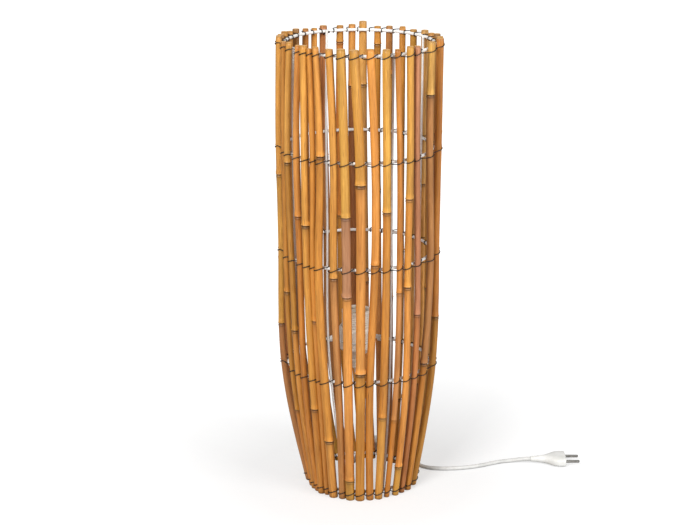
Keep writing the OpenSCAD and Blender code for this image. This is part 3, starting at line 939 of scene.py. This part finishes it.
def hook_points(turn, degrees):
    """Points on a turn of wire round the shoulder hoop, at degrees round the hoop's wire."""
    reach = HOOP_WIRE + (BRACKET_MM / 2 - 0.1) * MM
    points = []
    for a in degrees:
        rad = math.radians(a)
        points.append(hoop_spot(3, turn, reach * math.cos(rad), reach * math.sin(rad)))
    return points


def bracket_arm(turn, spread):
    """An arm: level out from the ring, down from its knee, and round the shoulder hoop."""
    ring = holder + spot(turn, RING_RADIUS, RING_LEVEL)
    knee = holder + spot(turn, KNEE_RADIUS, RING_LEVEL)
    down = hook_points(turn - spread, range(125, 256, 26))
    way = down[0] - knee
    points = [ring, ring.lerp(knee, 0.5), knee - (knee - ring) * 0.12]
    points += [knee + way * share for share in (0.04, 0.2, 0.5, 0.8, 0.93)]
    points += down
    if spread:
        points += hook_points(turn + spread, range(255, 109, -29))
    return points


bracket_ring = [holder + spot(a, RING_RADIUS, RING_LEVEL) for a in range(0, 360, 6)]
bracket = wire_curve(
    "bracket_wire",
    [bracket_ring, *(bracket_arm(turn, spread) for turn, spread in ARM_TURNS.items())],
    BRACKET_MM * MM,
    loops=[0],
)
add_piece("bracket_wire", bracket, [FINISH["white_steel"]], "holder_bracket")

# ---- plug ----

# From the flex towards the pins: how far along, then half the width, half the height and
# how square the section is, 2 being an ellipse.
PLUG_SECTIONS_MM = [
    (0, 3.4, 3.4, 2), (0.6, 3.7, 3.7, 2), (9, 4.4, 4.3, 2), (15, 5.3, 5, 2), (19, 6.6, 5.5, 2.1),
    (23, 9.3, 6, 2.3), (27, 12.6, 6.4, 2.5), (31, 15.6, 6.65, 2.8), (35, 17.6, 6.8, 3.1),
    (38, 18.2, 6.8, 3.3), (45.5, 18.2, 6.8, 3.3), (47.3, 17.8, 6.4, 3.2), (48, 16.8, 5.6, 3.1),
]  # fmt: skip
PLUG_SIDES = 64
RINGS_PER_MM = 4


def plug_ring(start, along, half_y, half_z, power, groove):
    """One section of the plug, from sizes in millimetres. groove scales it down inside a
    groove of its sleeve."""
    ring = []
    for k in range(PLUG_SIDES):
        a = math.tau * k / PLUG_SIDES
        c, s = math.cos(a), math.sin(a)
        y = half_y * math.copysign(abs(c) ** (2 / power), c)
        z = half_z * math.copysign(abs(s) ** (2 / power), s)
        ring.append(start + Vector((along, y * groove, z * groove)) * MM)
    return ring


def sleeve_groove(x):
    """How the section x millimetres along is scaled by the grooves round the sleeve."""
    return 1 - 0.09 * max(0, math.sin(math.tau * x / 2.5)) * ease((13 - x) / 2) * ease(x - 1.2)


plug_start = middle("plug_body")
plug_start.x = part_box("plug_body")[0].x
along, half_y, half_z, power = np.array(PLUG_SECTIONS_MM).T
plug_rings = []
for i in range(int(along[-1] * RINGS_PER_MM) + 1):
    x = i / RINGS_PER_MM
    sizes = [float(np.interp(x, along, values)) for values in (half_y, half_z, power)]
    plug_rings.append(plug_ring(plug_start, x, *sizes, sleeve_groove(x)))
plug_mesh = skin_mesh("plug_moulding", plug_rings)
add_piece("plug_moulding", plug_mesh, [FINISH["plug_white"]], "plug_body")

# ---- tie round the coil ----


def strap_rings():
    """A flat strap, 4 mm wide and 0.9 mm thick, round the coil's turns. Millimetres are used
    up to the last step."""
    turn = math.radians(100)
    outwards = Vector((math.cos(turn), math.sin(turn), 0))
    along = Vector((-outwards.y, outwards.x, 0))
    centre = Vector((*COIL_MM, 0)) + outwards * (OUTER_TURN_MM - TURN_GAP_MM)
    across, low, high, corner = 8.8, 0.5, 11.5, 2.6
    corners = [(-across, low), (across, low), (across, high), (-across, high)]
    profile = ((-2, -0.4), (-2, 0.3), (-1.7, 0.5), (1.7, 0.5), (2, 0.3), (2, -0.4))
    rings = []
    outline = finely(rounded_outline(corners, corner, 6), 1.0)
    for i, (r, z) in enumerate(outline):
        before, after = Vector(outline[i - 1]), Vector(outline[(i + 1) % len(outline)])
        way = (after - before).normalized()
        out = Vector((way.y, -way.x))
        ring = []
        for side, lift in profile:
            place = Vector((r, z)) + out * lift
            point = centre + outwards * place.x + along * side
            point.z = max(place.y, 0.02)
            ring.append(point * MM)
        rings.append(ring)
    return rings


tie_mesh = skin_mesh("tie_band", strap_rings(), loop=True)
add_piece("tie_band", tie_mesh, [FINISH["tie_grey"]], "coil_tie")

# ---- everything else keeps its CAD mesh ----

for node in ("contact_block", "lamp_contacts", "plug_pins"):
    dress(node, edge_mm=0.15)
for node in ("switch_base", "switch_cover", "switch_rocker"):
    dress(node, edge_mm=0.8)

# ---- floor and light ----

# The floor glows white to the camera and glows on nothing else. Near the lamp the glow is
# dimmer: a painted shadow round its foot.
floor_mesh = bpy.data.meshes.new("floor")
floor_mesh.from_pydata([(-8, -4, 0), (8, -4, 0), (8, 12, 0), (-8, 12, 0)], [], [(0, 1, 2, 3)])
floor = bpy.data.objects.new("floor", floor_mesh)
scene.collection.objects.link(floor)
floor_material, floor_shader = new_material("studio_floor", Roughness=0.9)
floor_shader.inputs["Base Color"].default_value = (0.45, 0.45, 0.45, 1)
seen = shader_node(floor_material, "LightPath")
place = shader_node(floor_material, "TexCoord")
lamp_shadow_mask = shader_node(floor_material, "TexGradient", gradient_type="SPHERICAL")
# Painted shadow: the glow falls to about half its whiteness close to the lamp.
fade = add_ramp(floor_material, (0.25, (1, 1, 1)), (0.85, (0.52, 0.52, 0.52)))
glow = shader_node(floor_material, "Emission", Strength=1.0)
both = shader_node(floor_material, "AddShader")
only_seen = shader_node(floor_material, "MixShader")
output = floor_material.node_tree.nodes["Material Output"]
join(floor_material, place, "Object", lamp_shadow_mask, "Vector")
join(floor_material, lamp_shadow_mask, "Fac", fade, "Fac")
join(floor_material, fade, "Color", glow, "Color")
join(floor_material, floor_shader, 0, both, 0)
join(floor_material, glow, 0, both, 1)
join(floor_material, seen, "Is Camera Ray", only_seen, 0)
join(floor_material, floor_shader, 0, only_seen, 1)
join(floor_material, both, 0, only_seen, 2)
join(floor_material, only_seen, 0, output, "Surface")
floor_mesh.materials.append(floor_material)

# The world is white to the camera and a dimmer grey to everything else.
world = bpy.data.worlds.new("studio")
world.use_nodes = True
sky = world.node_tree.nodes["Background"]
sky.inputs["Color"].default_value = (1, 1, 1, 1)
sky.inputs["Strength"].default_value = 0.4
backdrop = shader_node(world, "Background", Color=(1, 1, 1, 1), Strength=1.1)
looked_at = shader_node(world, "LightPath")
choice = shader_node(world, "MixShader")
join(world, looked_at, "Is Camera Ray", choice, 0)
join(world, sky, 0, choice, 1)
join(world, backdrop, 0, choice, 2)
join(world, choice, 0, world.node_tree.nodes["World Output"], "Surface")
scene.world = world


def add_light(name, place, power, size):
    """A square soft light that looks at the middle of the lamp."""
    data = bpy.data.lights.new(name, "AREA")
    data.energy = power
    data.size = size
    light = bpy.data.objects.new(name, data)
    scene.collection.objects.link(light)
    light.location = place
    aim = Vector((0, 0, 0.3)) - light.location
    light.rotation_euler = aim.to_track_quat("-Z", "Y").to_euler()


add_light("key", (-1.1, -2.2, 2.0), power=68, size=1.0)
add_light("fill", (1.9, -1.6, 1.2), power=34, size=1.2)
scene.view_settings.view_transform = "Standard"

# ---- last update ----

bpy.context.view_layer.update()
